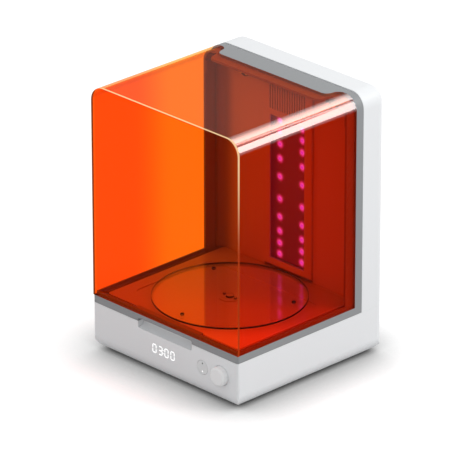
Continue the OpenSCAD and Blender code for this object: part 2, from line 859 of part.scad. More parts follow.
module button_switch() {
    color("#26282a") {
        box(button_x - 3.5, button_x + 3.5, panel_board_y - 2.6, panel_board_y,
            control_z - 3.5, control_z + 3.5);
        rod_y(button_x, control_z, 1.7, wall_y + 3 + press + 0.2, panel_board_y - 2);
    }
}

// Switch in the base and magnet in the cover that tell when the cover is shut
module lid_sensor() {
    color("#26282a") box(magnet_x - 4, magnet_x + 4, wall_y + 2, wall_y + 10,
        seam_z - wall - 3, seam_z - wall);
}

module lid_magnet() {
    color("#8d9094") box(magnet_x - 4, magnet_x + 4, front_y + sheet_t, front_y + rim_d,
        seam_z + 2, seam_z + 6);
}

// Turntable drive
module turntable_motor() {
    color("#9b9ea1") difference() {
        union() {
            rod_z(0, table_y, motor_r, motor_top - motor_h, motor_top);
            box(-motor_r - 9, motor_r + 9, table_y - 4, table_y + 4, motor_top - 2, motor_top);
        }
        rod_z(0, table_y, shaft_r + run, motor_top - 14, motor_top + 1);
        both_sides() translate([motor_r + 5, table_y, motor_top - 3]) screw_hole(4);
    }
}

module motor_bracket() {
    color("#a9adb1") difference() {
        box(-motor_post_x - 6, motor_post_x + 6, table_y - motor_post_y - 6, table_y + motor_post_y + 6,
            motor_top, motor_top + bracket_t);
        rod_z(0, table_y, shaft_r + 2, motor_top - 1, motor_top + bracket_t + 1);
        both_sides() {
            translate([motor_r + 5, table_y, motor_top - 1]) screw_hole(bracket_t + 2);
            for (y = [-1, 1]) translate([motor_post_x, table_y + y * motor_post_y, motor_top - 1])
                screw_hole(bracket_t + 2);
        }
    }
}

module motor_screws() {
    color("#b8bcc0") both_sides() {
        translate([motor_r + 5, table_y, motor_top - 2]) screw(2 + bracket_t + 2);
        for (y = [-1, 1]) translate([motor_post_x, table_y + y * motor_post_y, motor_top])
            screw(bracket_t + 5);
    }
}

module motor_shaft() {
    color("#c4c7ca") rod_z(0, table_y, shaft_r, motor_top - 13, hub_top + 1.5);
}

module shaft_bushing() {
    floor_z = tray_z - well_t;
    color("#b98f45") difference() {
        union() {
            rod_z(0, table_y, bush_r, floor_z - 4, floor_z);
            rod_z(0, table_y, bush_r + 2, floor_z, floor_z + 0.6);
        }
        rod_z(0, table_y, shaft_r + run, floor_z - 5, floor_z + 1);
    }
}

// Hub with a centring spigot and two drive pins
module drive_hub() {
    low = tray_z - well_t + 0.9;
    color("#c4c7ca") difference() {
        union() {
            rod_z(0, table_y, hub_r, low, hub_top);
            rod_z(0, table_y, spigot_r, hub_top - 0.5, hub_top + 2.2);
            for (s = [-1, 1]) rod_z(s * 10, table_y, 1.5, hub_top - 0.5, hub_top + 1.7);
        }
        rod_z(0, table_y, shaft_r + run, low - 1, hub_top + 1.5);
    }
}

module turntable_disc() {
    top = table_z + disc_t;
    color("#ffd9b0", 0.5) difference() {
        translate([0, table_y, table_z]) rotate_extrude()
            polygon([[0, 0], [disc_r - 0.5, 0], [disc_r, 0.5], [disc_r, disc_t - 0.5],
                [disc_r - 0.5, disc_t], [0, disc_t]]);
        rod_z(0, table_y, spigot_r + loose, table_z - 1, hub_top + 2.5);
        for (s = [-1, 1]) rod_z(s * 10, table_y, 1.8, table_z - 1, hub_top + 2);
        for (a = [30, 150, 270])
            rod_z(stud_ring * cos(a), table_y + stud_ring * sin(a), 2.5 + run, top - 1.5, top + 1);
    }
}

// Three clear studs that hold a piece off the disc
module disc_studs() {
    top = table_z + disc_t;
    color("#ffe0c0", 0.6) for (a = [30, 150, 270])
        translate([stud_ring * cos(a), table_y + stud_ring * sin(a), top - 1.5]) rotate_extrude()
            intersection() {
                translate([0, 1]) circle(2.5);
                square([2.5, 3.5]);
            }
}

// Hinge: each leaf hangs in front of the back panel, and its knuckle sits in the cover's rail
module hinge_brackets() {
    h = bracket_w / 2;
    round_z = leaf_bottom + h;
    neck_z = panel_top - 6;
    color("#4a4c4f") for (s = [-1, 1]) difference() {
        union() {
            box(s * bracket_x - h, s * bracket_x + h, panel_y - leaf_t, panel_y, round_z, panel_top);
            box(s * bracket_x - h, s * bracket_x + h, axis_y - web_half, panel_y, neck_z, panel_top);
            box(s * bracket_x - h, s * bracket_x + h, axis_y - web_half, axis_y + web_half,
                neck_z, axis_z);
            rod_y(s * bracket_x, round_z, h, panel_y - leaf_t, panel_y);
            rod_x(axis_y, axis_z, knuckle_r, s * bracket_x - h, s * bracket_x + h);
        }
        rod_x(axis_y, axis_z, pin_r + run, s * bracket_x - h - 1, s * bracket_x + h + 1);
        for (x = hinge_screw_xs) translate([x, panel_y - leaf_t - 1, hinge_screw_z]) rotate([-90, 0, 0])
            screw_hole(leaf_t + 2);
    }
}

module hinge_screws() {
    color("#8b8e91") for (x = hinge_screw_xs)
        translate([x, panel_y - leaf_t, hinge_screw_z]) rotate([-90, 0, 0])
            screw(leaf_t + panel_t + hinge_boss);
}

module hinge_pins() {
    reach = bracket_w / 2 + pin_bite;
    color("#c4c7ca") for (s = [-1, 1])
        rod_x(axis_y, axis_z, pin_r, s * bracket_x - reach, s * bracket_x + reach);
}

// Pale pads inside the cover's lip that centre it on the back panel
module cover_guides() {
    outer = half_w - sheet_t - lip_t;
    color("#d9dbdd") both_sides()
        box(outer - 1.6, outer, guide_front, guide_front + 5, guide_top - guide_h, guide_top);
}

// Cover
module cover_frame() {
    inner = half_w - rim_d;
    rail_front = axis_y - 9;
    slot_w = bracket_w / 2 + gap;
    color("#8b8e8f") difference() {
        union() {
            // Rim along the front and both sides
            translate([0, 0, seam_z + seat]) linear_extrude(rim_h - seat) difference() {
                intersection() {
                    plan2d(0);
                    translate([-half_w, front_y]) square([body_w, back_edge - front_y]);
                }
                translate([-inner, front_y + rim_d]) square([2 * inner, body_d]);
            }
            // Lip behind the foot of the amber sheet
            both_sides() {
                box(half_w - sheet_t - 2, half_w - sheet_t, front_y + sheet_t, back_edge - 20,
                    rim_z - 1, rim_z + lip_up);
                box(grip_half + seat, half_w - sheet_t, front_y + sheet_t, front_y + sheet_t + 2,
                    rim_z - 1, rim_z + lip_up);
            }
            // Arch border with the strip along its top, and the lip that runs on inside it
            intersection() {
                along_y(strip_y, back_edge) arch_ring2d(0, sheet_t + lip_t, rim_z - 1);
                linear_extrude(body_h) strip2d(0);
            }
            intersection() {
                along_y(strip_y - lip_reach, back_edge) arch_ring2d(sheet_t, sheet_t + lip_t, rim_z - 1);
                linear_extrude(body_h) strip2d(lip_reach);
            }
            // Rail that holds the hinge pins
            box(-rail_half, rail_half, rail_front, back_edge, body_h - 2 * hinge_r, body_h - 1);
        }
        // The rear top edge turns about the hinge
        difference() {
            box(-half_w, half_w, axis_y, back_edge + 1, axis_z, body_h + 1);
            rod_x(axis_y, axis_z, hinge_r, -half_w - 1, half_w + 1);
        }
        for (s = [-1, 1]) {
            // Room for the knuckle, open below, and for the leaf as the cover turns
            rod_x(axis_y, axis_z, knuckle_r + gap, s * bracket_x - slot_w, s * bracket_x + slot_w);
            box(s * bracket_x - slot_w, s * bracket_x + slot_w, axis_y - knuckle_r - gap, back_edge + 1,
                body_h - 2 * hinge_r - 1, axis_z);
            box(s * bracket_x - slot_w, s * bracket_x + slot_w, axis_y - 1, back_edge + 1,
                axis_z - 1, axis_z + web_half + gap);
            rod_x(axis_y, axis_z, pin_r + run, s * bracket_x - slot_w - pin_bite,
                s * bracket_x + slot_w + pin_bite);
        }
        // Finger notch and magnet pocket
        translate([0, 0, 2 * (seam_z + seat)]) mirror([0, 0, 1]) translate([0, 0, notch_h - rim_cut])
            along_y(front_y - 1, front_y + rim_d + 1) notch2d();
        box(magnet_x - 4, magnet_x + 4, front_y + sheet_t, front_y + rim_d + 1, seam_z + 2, seam_z + 6);
    }
}

// Amber sheet bent over the sides and the top
module canopy() {
    color("#ff6a10", 0.55) difference() {
        along_y(front_y + sheet_t, border_y) arch_ring2d(0, sheet_t, rim_z);
        translate([0, 0, body_h - sheet_t - 1]) linear_extrude(sheet_t + 2) strip2d(0);
    }
}

// Flat amber panel bonded to the sheet's front edge
module front_panel() {
    color("#ff6a10", 0.55) along_y(front_y, front_y + sheet_t) arch2d(0, rim_z);
}

// Dark grip bar behind the front rim
module lift_grip() {
    color("#3c3e40") {
        box(-grip_half, grip_half, grip_front, grip_rear, rim_z, rim_z + lip_up);
        box(-grip_half, grip_half, front_y + rim_d, grip_rear, rim_z - lip_up, rim_z);
    }
}

base_shell();
base_plate();
rubber_feet();
base_screws();
chamber_floor();
tower_shell();
tower_screws();
back_panel();
panel_screws();
led_window();
led_board();
leds();
led_standoffs();
heat_sink();
fan_frame();
fan_rotor();
fan_screws();
air_heater();
temperature_probe();
main_board();
board_components();
board_screws();
dc_jack();
display_board();
display_digits();
encoder_body();
encoder_plunger();
encoder_shaft();
knob();
mode_button();
button_lights();
button_switch();
lid_sensor();
lid_magnet();
turntable_motor();
motor_bracket();
motor_screws();
motor_shaft();
shaft_bushing();
drive_hub();
turntable_disc();
disc_studs();
hinge_brackets();
hinge_screws();
hinge_pins();
cover_guides();
cover_frame();
canopy();
front_panel();
lift_grip();
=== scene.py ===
# Light curing unit for a dental laboratory: its finishes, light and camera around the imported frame.
import bmesh
import bpy
from math import cos, pi, radians, sin
from mathutils import Matrix, Vector


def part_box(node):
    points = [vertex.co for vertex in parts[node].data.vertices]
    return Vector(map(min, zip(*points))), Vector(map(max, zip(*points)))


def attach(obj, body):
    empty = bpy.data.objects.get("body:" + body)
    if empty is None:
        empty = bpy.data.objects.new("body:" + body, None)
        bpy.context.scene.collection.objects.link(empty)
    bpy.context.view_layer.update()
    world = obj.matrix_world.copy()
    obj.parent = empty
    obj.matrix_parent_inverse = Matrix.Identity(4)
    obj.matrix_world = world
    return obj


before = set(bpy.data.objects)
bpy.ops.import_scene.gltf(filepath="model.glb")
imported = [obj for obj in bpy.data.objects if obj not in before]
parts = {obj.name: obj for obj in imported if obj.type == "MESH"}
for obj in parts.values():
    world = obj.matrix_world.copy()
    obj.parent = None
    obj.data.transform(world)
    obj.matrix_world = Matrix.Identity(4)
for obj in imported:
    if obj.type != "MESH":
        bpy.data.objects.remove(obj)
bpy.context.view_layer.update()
scene = bpy.context.scene
print("frame loaded:", len(parts), "nodes")

# Camera

viewpoint = {
    "azimuth": 45.6,          # degrees round from the front, to the right
    "elevation": 23.88,       # degrees above the table
    "distance": 6.4235,       # metres from the target
    "target": (0, 0.004, 0.17),
    "lens": 409.8,            # mm, on a sensor 36 mm wide
    "sensor": 36,
    "shift": (-0.0201, -0.0101),
    "farthest": 60,           # metres
}


def makeCamera():
    data = bpy.data.cameras.new("camera")
    data.sensor_width = viewpoint["sensor"]
    data.lens = viewpoint["lens"]
    data.shift_x, data.shift_y = viewpoint["shift"]
    data.clip_end = viewpoint["farthest"]
    turn, rise = radians(viewpoint["azimuth"]), radians(viewpoint["elevation"])
    back = Vector((sin(turn) * cos(rise), -cos(turn) * cos(rise), sin(rise)))
    camera = bpy.data.objects.new("camera", data)
    camera.location = Vector(viewpoint["target"]) + back * viewpoint["distance"]
    camera.rotation_euler = back.to_track_quat("Z", "Y").to_euler()
    scene.collection.objects.link(camera)
    scene.camera = camera


makeCamera()
scene.view_settings.view_transform = "Standard"
print("camera placed")

# Helpers for materials

white = (1, 1, 1, 1)
black = (0, 0, 0, 1)
softly = {"interpolation_type": "SMOOTHSTEP"}   # a Map Range node that eases at both ends
tinted = {"data_type": "RGBA"}                  # a Mix node for colours: inputs 0, 6 and 7, output 2


def linear(hexColour):
    # sRGB hex to the linear colour that nodes take
    channels = [int(hexColour[i:i + 2], 16) / 255 for i in (1, 3, 5)]
    return [c / 12.92 if c <= 0.04045 else ((c + 0.055) / 1.055) ** 2.4 for c in channels] + [1]


def add(tree, kind, inputs=None, **settings):
    # One node with its settings; an input takes a value or another node's output
    node = tree.nodes.new("ShaderNode" + kind)
    for name, value in settings.items():
        setattr(node, name, value)
    for key, value in (inputs or {}).items():
        if isinstance(value, bpy.types.NodeSocket):
            tree.links.new(value, node.inputs[key])
        else:
            node.inputs[key].default_value = value
    return node


def newMaterial(name):
    material = bpy.data.materials.new(name)
    material.use_nodes = True
    material.node_tree.nodes.clear()
    return material, material.node_tree


def placeOn(tree):
    # X, Y and Z on the piece, in metres
    place = add(tree, "TexCoord").outputs["Object"]
    return add(tree, "SeparateXYZ", {0: place}).outputs


def facingAlong(tree, axis):
    # 1 on faces square to an axis of the piece, 0 on faces along it
    normal = add(tree, "TexCoord").outputs["Normal"]
    turned = add(tree, "SeparateXYZ", {0: normal}).outputs[axis]
    return add(tree, "Math", {0: turned}, operation="ABSOLUTE").outputs[0]


def distanceFrom(tree, first, second):
    # How far a point is from the middle, along two axes
    corner = add(tree, "CombineXYZ", {0: first, 1: second}).outputs[0]
    return add(tree, "VectorMath", {0: corner}, operation="LENGTH").outputs["Value"]


def grainBump(tree, grain, over=None):
    # Fine unevenness, over another normal if there is one: grain is its spacing and depth in millimetres
    spacing, depth = grain
    place = add(tree, "TexCoord").outputs["Object"]
    noise = add(tree, "TexNoise", {"Vector": place, "Scale": 1000 / spacing, "Detail": 2}).outputs["Fac"]
    bump = add(tree, "Bump", {"Height": noise, "Strength": 1, "Distance": depth / 1000})
    if over is not None:
        tree.links.new(over, bump.inputs["Normal"])
    return bump.outputs["Normal"]


def dress(material, *names):
    for name in names:
        slots = parts[name].data.materials
        slots.clear()
        slots.append(material)


# Plain finishes and the pieces that wear them; grain is spacing and depth, and edge is the rounding
# that catches the light along every corner, in millimetres

plainFinishes = {
    # ABS from spark-eroded moulds: satin, with a faint orange peel
    "mouldedWhiteAbs": {
        "colour": "#E6E8EA", "roughness": 0.38, "grain": (1.6, 0.012), "edge": 0.7,
        "pieces": ("base_shell", "tower_shell", "base_plate"),
    },
    "greyTrimAbs": {
        "colour": "#8A8C8E", "roughness": 0.45, "grain": (1.4, 0.014), "edge": 0.5,
        "pieces": ("cover_frame", "cover_guides", "lift_grip"),
    },
    "satinKnobAbs": {
        "colour": "#ECEEEF", "roughness": 0.3, "grain": (1.4, 0.01),
        "pieces": ("knob", "drive_hub"),
    },
    "blackNylon": {
        "colour": "#2A2B2D", "roughness": 0.5, "grain": (1.2, 0.01),
        "pieces": ("hinge_brackets", "fan_frame", "fan_rotor", "dc_jack", "board_components", "button_switch",
                   "lid_sensor"),
    },
    "mouldedRubber": {
        "colour": "#232324", "roughness": 0.8, "grain": (1.2, 0.01),
        "pieces": ("rubber_feet",),
    },
    "greenSolderMask": {
        "colour": "#22603C", "roughness": 0.35, "grain": (1.2, 0.01),
        "pieces": ("main_board", "display_board"),
    },
    "brownHeaterEnamel": {
        "colour": "#7A5F3A", "roughness": 0.5, "grain": (1.2, 0.01),
        "pieces": ("air_heater",),
    },
    # Plated, turned, sintered and extruded metal: its marks only soften the gloss
    "zincPlatedSteel": {
        "colour": "#B9BCBF", "roughness": 0.35, "grain": (0.8, 0.002), "metallic": 1,
        "pieces": ("base_screws", "tower_screws", "panel_screws", "fan_screws", "board_screws",
                   "motor_screws", "hinge_screws", "motor_bracket", "lid_magnet"),
    },
    "turnedSteel": {
        "colour": "#C2C4C6", "roughness": 0.25, "grain": (0.8, 0.002), "metallic": 1,
        "pieces": ("hinge_pins", "motor_shaft", "encoder_body", "encoder_plunger", "encoder_shaft",
                   "turntable_motor", "temperature_probe"),
    },
    "sinteredBronze": {
        "colour": "#B0803E", "roughness": 0.45, "grain": (0.8, 0.002), "metallic": 1,
        "pieces": ("shaft_bushing", "led_standoffs"),
    },
    "extrudedAluminium": {
        "colour": "#C4C6C8", "roughness": 0.35, "grain": (0.8, 0.002), "metallic": 1,
        "pieces": ("heat_sink",),
    },
}


def plainFinish(name, look):
    material, tree = newMaterial(name)
    corners = None
    if "edge" in look:
        corners = add(tree, "Bevel", {"Radius": look["edge"] / 1000}, samples=4).outputs["Normal"]
    shader = add(tree, "BsdfPrincipled", {
        "Base Color": linear(look["colour"]), "Roughness": look["roughness"],
        "Metallic": look.get("metallic", 0), "Normal": grainBump(tree, look["grain"], corners)})
    add(tree, "OutputMaterial", {"Surface": shader.outputs["BSDF"]})
    return material


for name, look in plainFinishes.items():
    dress(plainFinish(name, look), *look["pieces"])
print("plain finishes on")

# Amber and clear acrylic

amberSheet = {
    "sideFace": (0.99, 0.34, 0.13, 1),   # one face of the right wall; each wall of the one sheet has its own tint, painted light and shade
    "frontFace": (0.99, 0.45, 0.15, 1),  # the same on the flat front panel
    "topFace": (0.99, 0.49, 0.17, 1),    # on the top
    "leftFace": (0.99, 0.55, 0.20, 1),   # on the left wall, towards the front
    "paleFace": (0.99, 0.80, 0.24, 1),   # and towards the back, painted lighter where light washes it
    "paintedWash": (-0.055, 0.015),             # metres along the left wall where the painted wash starts and is full
    "top": (0.005, 0.004),               # metres below the top where its tone starts and is full
    "left": (0.02, 0.004),               # metres from the left side where its tone starts and is full
    "bendRadius": 0.020,
    "across": (0, 0.001),                # metres into the bend where its gloss starts and is full
    "upwards": (0.001, 0.005),
    "bendShine": 0.12,                   # extra gloss on the polished bends
    "flatShine": 0.03,                   # the most that a flat face gives back
    "leastShine": 0.0008,
    "grazingShine": 0.36,
    "roughness": 0.04,
}

paintedRimGlow = {
    "paintedGlow": 0.85,                     # how much of the rim's look is painted glow, for light that comes along the sheet
    "deep": (0.42, 0.05, 0.008, 1),      # low down
    "pale": (1, 0.72, 0.36, 1),          # painted lighter along the top, near the lamps
    "dark": (0.09, 0.006, 0.001, 1),     # painted dark on the left, where none arrives
    "paleFrom": 0.2,                     # metres above the table
    "paleUnder": 0.01,                   # metres below the cover's top
    "left": (0.012, 0.002),              # metres from the left side where the dark part starts and is full
}

clearSheet = {
    "face": (0.95, 0.95, 0.95, 1),       # what one polished face lets through
    "discRim": (0.01, 0.01, 0.01, 1),    # painted shade: the sawn rim of the disc lets almost nothing through, so that it reads dark
    "paneRim": (0.9, 0.9, 0.9, 1),       # the same on the small clear pieces
    "rim": (0.8, 0.6),                   # how level a surface is where the rim starts and is full
    "polish": (0.3, 0.8),                # and where the polish starts and is full
    "leastShine": 0.05,
    "grazingShine": 1.7,
    "roughness": 0.03,
}


def polish(tree, sheet):
    # How much a polished face mirrors: little where it faces the eye, much where it turns away
    away = add(tree, "LayerWeight", {"Blend": 0.5}).outputs["Facing"]
    away = add(tree, "Math", {0: away, 1: 5}, operation="POWER").outputs[0]
    return add(tree, "Math", {0: away, 1: sheet["grazingShine"], 2: sheet["leastShine"]},
               operation="MULTIPLY_ADD").outputs[0]


def flatPolish(tree):
    # The flat faces of the cover stay clear at any angle
    return add(tree, "Math", {0: polish(tree, amberSheet), 1: amberSheet["flatShine"]},
               operation="MINIMUM").outputs[0]


def glossOver(tree, sheet, colour, shine):
    # A clear sheet under its gloss: white only where it turns to the light
    clear = add(tree, "BsdfTransparent", {"Color": colour}).outputs["BSDF"]
    gloss = add(tree, "BsdfGlossy", {"Color": white, "Roughness": sheet["roughness"]}).outputs["BSDF"]
    return add(tree, "MixShader", {0: shine, 1: clear, 2: gloss}).outputs["Shader"]


def bentAmberAcrylic():
    # Cast amber acrylic, bent over a hot bar and flame polished: clear and saturated, with bright bends; its
    # walls carry painted light and shade in their tints
    material, tree = newMaterial("bentAmberAcrylic")
    low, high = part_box("canopy")
    bendX, bendZ = high[0] - amberSheet["bendRadius"], high[2] - amberSheet["bendRadius"]
    at = placeOn(tree)

    side = add(tree, "Math", {0: at["X"]}, operation="ABSOLUTE").outputs[0]
    across = add(tree, "MapRange", {"Value": side, "From Min": bendX + amberSheet["across"][0],
                                    "From Max": bendX + amberSheet["across"][1]}, **softly)
    upwards = add(tree, "MapRange", {"Value": at["Z"], "From Min": bendZ + amberSheet["upwards"][0],
                                     "From Max": bendZ + amberSheet["upwards"][1]}, **softly)
    inBend = add(tree, "Math", {0: across.outputs["Result"], 1: upwards.outputs["Result"]},
                 operation="MULTIPLY").outputs[0]
    shine = add(tree, "Math", {0: inBend, 1: amberSheet["bendShine"], 2: flatPolish(tree)},
                operation="MULTIPLY_ADD").outputs[0]

    # Painted light and shade: the top, side and left walls get different tints, and the left wall is tinted
    # paler towards the back
    paintedWash = add(tree, "MapRange", {"Value": at["Y"], "From Min": amberSheet["paintedWash"][0],
                                  "From Max": amberSheet["paintedWash"][1]}, **softly).outputs["Result"]
    leftWall = add(tree, "Mix", {0: paintedWash, 6: amberSheet["leftFace"], 7: amberSheet["paleFace"]},
                   **tinted).outputs[2]
    onTop = add(tree, "MapRange", {"Value": at["Z"], "From Min": high[2] - amberSheet["top"][0],
                                   "From Max": high[2] - amberSheet["top"][1]}, **softly).outputs["Result"]
    others = add(tree, "Mix", {0: onTop, 6: amberSheet["sideFace"], 7: amberSheet["topFace"]},
                 **tinted).outputs[2]
    onLeft = add(tree, "MapRange", {"Value": at["X"], "From Min": low[0] + amberSheet["left"][0],
                                    "From Max": low[0] + amberSheet["left"][1]}, **softly).outputs["Result"]
    colour = add(tree, "Mix", {0: onLeft, 6: others, 7: leftWall}, **tinted).outputs[2]
    add(tree, "OutputMaterial", {"Surface": glossOver(tree, amberSheet, colour, shine)})
    return material


def flatAmberAcrylic():
    # The same sheet sawn flat: its polished rim gets a painted glow, for the light that the sheet carries
    material, tree = newMaterial("flatAmberAcrylic")
    low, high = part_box("canopy")
    at = placeOn(tree)
    face = glossOver(tree, amberSheet, amberSheet["frontFace"], flatPolish(tree))
    onRim = add(tree, "Math", {0: facingAlong(tree, "Y"), 1: 0.5}, operation="LESS_THAN").outputs[0]
    share = add(tree, "Math", {0: onRim, 1: paintedRimGlow["paintedGlow"]}, operation="MULTIPLY").outputs[0]
    pale = add(tree, "MapRange", {"Value": at["Z"], "From Min": paintedRimGlow["paleFrom"],
                                  "From Max": high[2] - paintedRimGlow["paleUnder"]}, **softly).outputs["Result"]
    colour = add(tree, "Mix", {0: pale, 6: paintedRimGlow["deep"], 7: paintedRimGlow["pale"]}, **tinted).outputs[2]
    onLeft = add(tree, "MapRange", {"Value": at["X"], "From Min": low[0] + paintedRimGlow["left"][0],
                                    "From Max": low[0] + paintedRimGlow["left"][1]}, **softly).outputs["Result"]
    colour = add(tree, "Mix", {0: onLeft, 6: colour, 7: paintedRimGlow["dark"]}, **tinted).outputs[2]
    # Painted glow: the rim emits light of its own, lighter towards the top and dark on the left
    paintedGlow = add(tree, "Emission", {"Color": colour, "Strength": 1}).outputs["Emission"]
    shader = add(tree, "MixShader", {0: share, 1: face, 2: paintedGlow}).outputs["Shader"]
    add(tree, "OutputMaterial", {"Surface": shader})
    return material


def clearAcrylic(name, rimColour):
    # Cast clear acrylic: polished faces, and a sawn rim that can look dark with painted shade, because no
    # light leaves by it
    material, tree = newMaterial(name)
    level = facingAlong(tree, "Z")
    onRim = add(tree, "MapRange", {"Value": level, "From Min": clearSheet["rim"][0],
                                   "From Max": clearSheet["rim"][1]}, **softly).outputs["Result"]
    onFace = add(tree, "MapRange", {"Value": level, "From Min": clearSheet["polish"][0],
                                    "From Max": clearSheet["polish"][1]}, **softly).outputs["Result"]
    shine = add(tree, "Math", {0: polish(tree, clearSheet), 1: onFace}, operation="MULTIPLY").outputs[0]
    colour = add(tree, "Mix", {0: onRim, 6: clearSheet["face"], 7: rimColour}, **tinted).outputs[2]
    add(tree, "OutputMaterial", {"Surface": glossOver(tree, clearSheet, colour, shine)})
    return material


dress(bentAmberAcrylic(), "canopy")
dress(flatAmberAcrylic(), "front_panel")
dress(clearAcrylic("discAcrylic", clearSheet["discRim"]), "turntable_disc")
dress(clearAcrylic("paneAcrylic", clearSheet["paneRim"]), "disc_studs", "led_window")
print("acrylic on")

# Chamber: its back wall and its floor

wallCoat = {
    "plain": "#C3C4C5",
    "coveShade": "#828384",
    "roughness": 0.4,
    "grain": (1.5, 0.01),
    "sides": (0.028, 0.002),   # metres from the panel's side edges where the painted cove shade starts and is full
    "top": (0.035, 0.005),     # the same below its top edge
}


def reflectorCoat():
    # Satin reflector coat on the back panel, with painted shade in the cove, where less light gets in
    material, tree = newMaterial("satinReflectorCoat")
    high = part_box("back_panel")[1]
    at = placeOn(tree)
    side = add(tree, "Math", {0: at["X"]}, operation="ABSOLUTE").outputs[0]
    atSide = add(tree, "MapRange", {"Value": side, "From Min": high[0] - wallCoat["sides"][0],
                                    "From Max": high[0] - wallCoat["sides"][1]}, **softly)
    atTop = add(tree, "MapRange", {"Value": at["Z"], "From Min": high[2] - wallCoat["top"][0],
                                   "From Max": high[2] - wallCoat["top"][1]}, **softly)
    coveShade = add(tree, "Math", {0: atSide.outputs["Result"], 1: atTop.outputs["Result"]},
              operation="MAXIMUM").outputs[0]
    colour = add(tree, "Mix", {0: coveShade, 6: linear(wallCoat["plain"]), 7: linear(wallCoat["coveShade"])},
                 **tinted).outputs[2]
    shader = add(tree, "BsdfPrincipled", {"Base Color": colour, "Roughness": wallCoat["roughness"],
                                          "Normal": grainBump(tree, wallCoat["grain"])}).outputs["BSDF"]
    add(tree, "OutputMaterial", {"Surface": shader})
    return material


trayEnamel = {
    "litWhite": "#F6F7F8",
    "shadedWhite": "#BCBDBE",
    "roughness": 0.24,
    "grain": (6, 0.02),
    "rim": (-0.006, 0.001),    # metres from the disc's rim where the painted shade starts and is full
    "corner": (0.19, 0.08),    # x less y, where the painted light of the front right corner ends and the painted shade is full
}


def enamel():
    # Glossy white enamel, with painted light under the disc and in the front right corner, and painted shade
    # elsewhere
    material, tree = newMaterial("whiteEnamelTray")
    low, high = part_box("turntable_disc")
    at = placeOn(tree)
    back = add(tree, "Math", {0: at["Y"], 1: (low[1] + high[1]) / 2}, operation="SUBTRACT").outputs[0]
    beyond = add(tree, "MapRange", {"Value": distanceFrom(tree, at["X"], back),
                                    "From Min": high[0] + trayEnamel["rim"][0],
                                    "From Max": high[0] + trayEnamel["rim"][1]}, **softly)
    corner = add(tree, "Math", {0: at["X"], 1: at["Y"]}, operation="SUBTRACT").outputs[0]
    away = add(tree, "MapRange", {"Value": corner, "From Min": trayEnamel["corner"][0],
                                  "From Max": trayEnamel["corner"][1]}, **softly)
    paintedShade = add(tree, "Math", {0: beyond.outputs["Result"], 1: away.outputs["Result"]},
               operation="MULTIPLY").outputs[0]
    colour = add(tree, "Mix", {0: paintedShade, 6: linear(trayEnamel["litWhite"]), 7: linear(trayEnamel["shadedWhite"])},
                 **tinted).outputs[2]
    shader = add(tree, "BsdfPrincipled", {"Base Color": colour, "Roughness": trayEnamel["roughness"],
                                          "Normal": grainBump(tree, trayEnamel["grain"])}).outputs["BSDF"]
    add(tree, "OutputMaterial", {"Surface": shader})
    return material


dress(reflectorCoat(), "back_panel")
dress(enamel(), "chamber_floor")
print("chamber coated")

# Lamps, display and button

lampBoard = {
    "steps": (0.167, 0.439, 0.655, 0.833, 1),   # places of the lamps from the middle to the ends
    "lensRadius": 0.00175,
    "haloRadius": 0.0095,
    "haloFall": 1.6,
    "haloColour": (0.8, 0.5, 20, 1),
    "haloStrength": 1.5,
    "tint": (0.9, 0.05, 1.2, 1),                # painted light: what the lamps throw on the whole board, as glow
    "tintStrength": 0.12,
    "mask": "#8A6048",
    "roughness": 0.5,
}


def litSolderMask():
    # Coppery solder mask under violet lamps: each lamp's soft round patch of light on it is painted, as glow
    material, tree = newMaterial("lampLitSolderMask")
    low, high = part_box("leds")
    column = high[0] - lampBoard["lensRadius"]
    half, middle = (high[2] - low[2]) / 2 - lampBoard["lensRadius"], (high[2] + low[2]) / 2
    at = placeOn(tree)
    side = add(tree, "Math", {0: at["X"]}, operation="ABSOLUTE").outputs[0]
    across = add(tree, "Math", {0: side, 1: column}, operation="SUBTRACT").outputs[0]
    up = add(tree, "Math", {0: at["Z"], 1: middle}, operation="SUBTRACT").outputs[0]
    up = add(tree, "Math", {0: up}, operation="ABSOLUTE").outputs[0]
    gaps = []
    for step in lampBoard["steps"]:
        gap = add(tree, "Math", {0: up, 1: step * half}, operation="SUBTRACT").outputs[0]
        gaps.append(add(tree, "Math", {0: gap}, operation="ABSOLUTE").outputs[0])
    nearest = gaps[0]
    for gap in gaps[1:]:
        nearest = add(tree, "Math", {0: nearest, 1: gap}, operation="MINIMUM").outputs[0]
    # Painted light: a glowing halo round each lamp, on the board itself
    halo = add(tree, "MapRange", {"Value": distanceFrom(tree, across, nearest),
                                  "From Min": lampBoard["haloRadius"], "From Max": 0}, **softly)
    halo = add(tree, "Math", {0: halo.outputs["Result"], 1: lampBoard["haloFall"]},
               operation="POWER").outputs[0]
    strength = add(tree, "Math", {0: halo, 1: lampBoard["haloStrength"], 2: lampBoard["tintStrength"]},
                   operation="MULTIPLY_ADD").outputs[0]
    colour = add(tree, "Mix", {0: halo, 6: lampBoard["tint"], 7: lampBoard["haloColour"]},
                 **tinted).outputs[2]
    shader = add(tree, "BsdfPrincipled", {
        "Base Color": linear(lampBoard["mask"]), "Roughness": lampBoard["roughness"],
        "Emission Color": colour, "Emission Strength": strength}).outputs["BSDF"]
    add(tree, "OutputMaterial", {"Surface": shader})
    return material


button = {
    "cap": "#DDDFE0",
    "shade": "#3A3B3C",
    "roughness": 0.35,
    "grain": (1.4, 0.01),
    "rim": (0.0016, 0.001),    # metres inside the button's edge where the painted shade starts and is full
    "unlit": "#3A3B3C",
    "unlitRoughness": 0.3,
    "litStrength": 1.3,
}


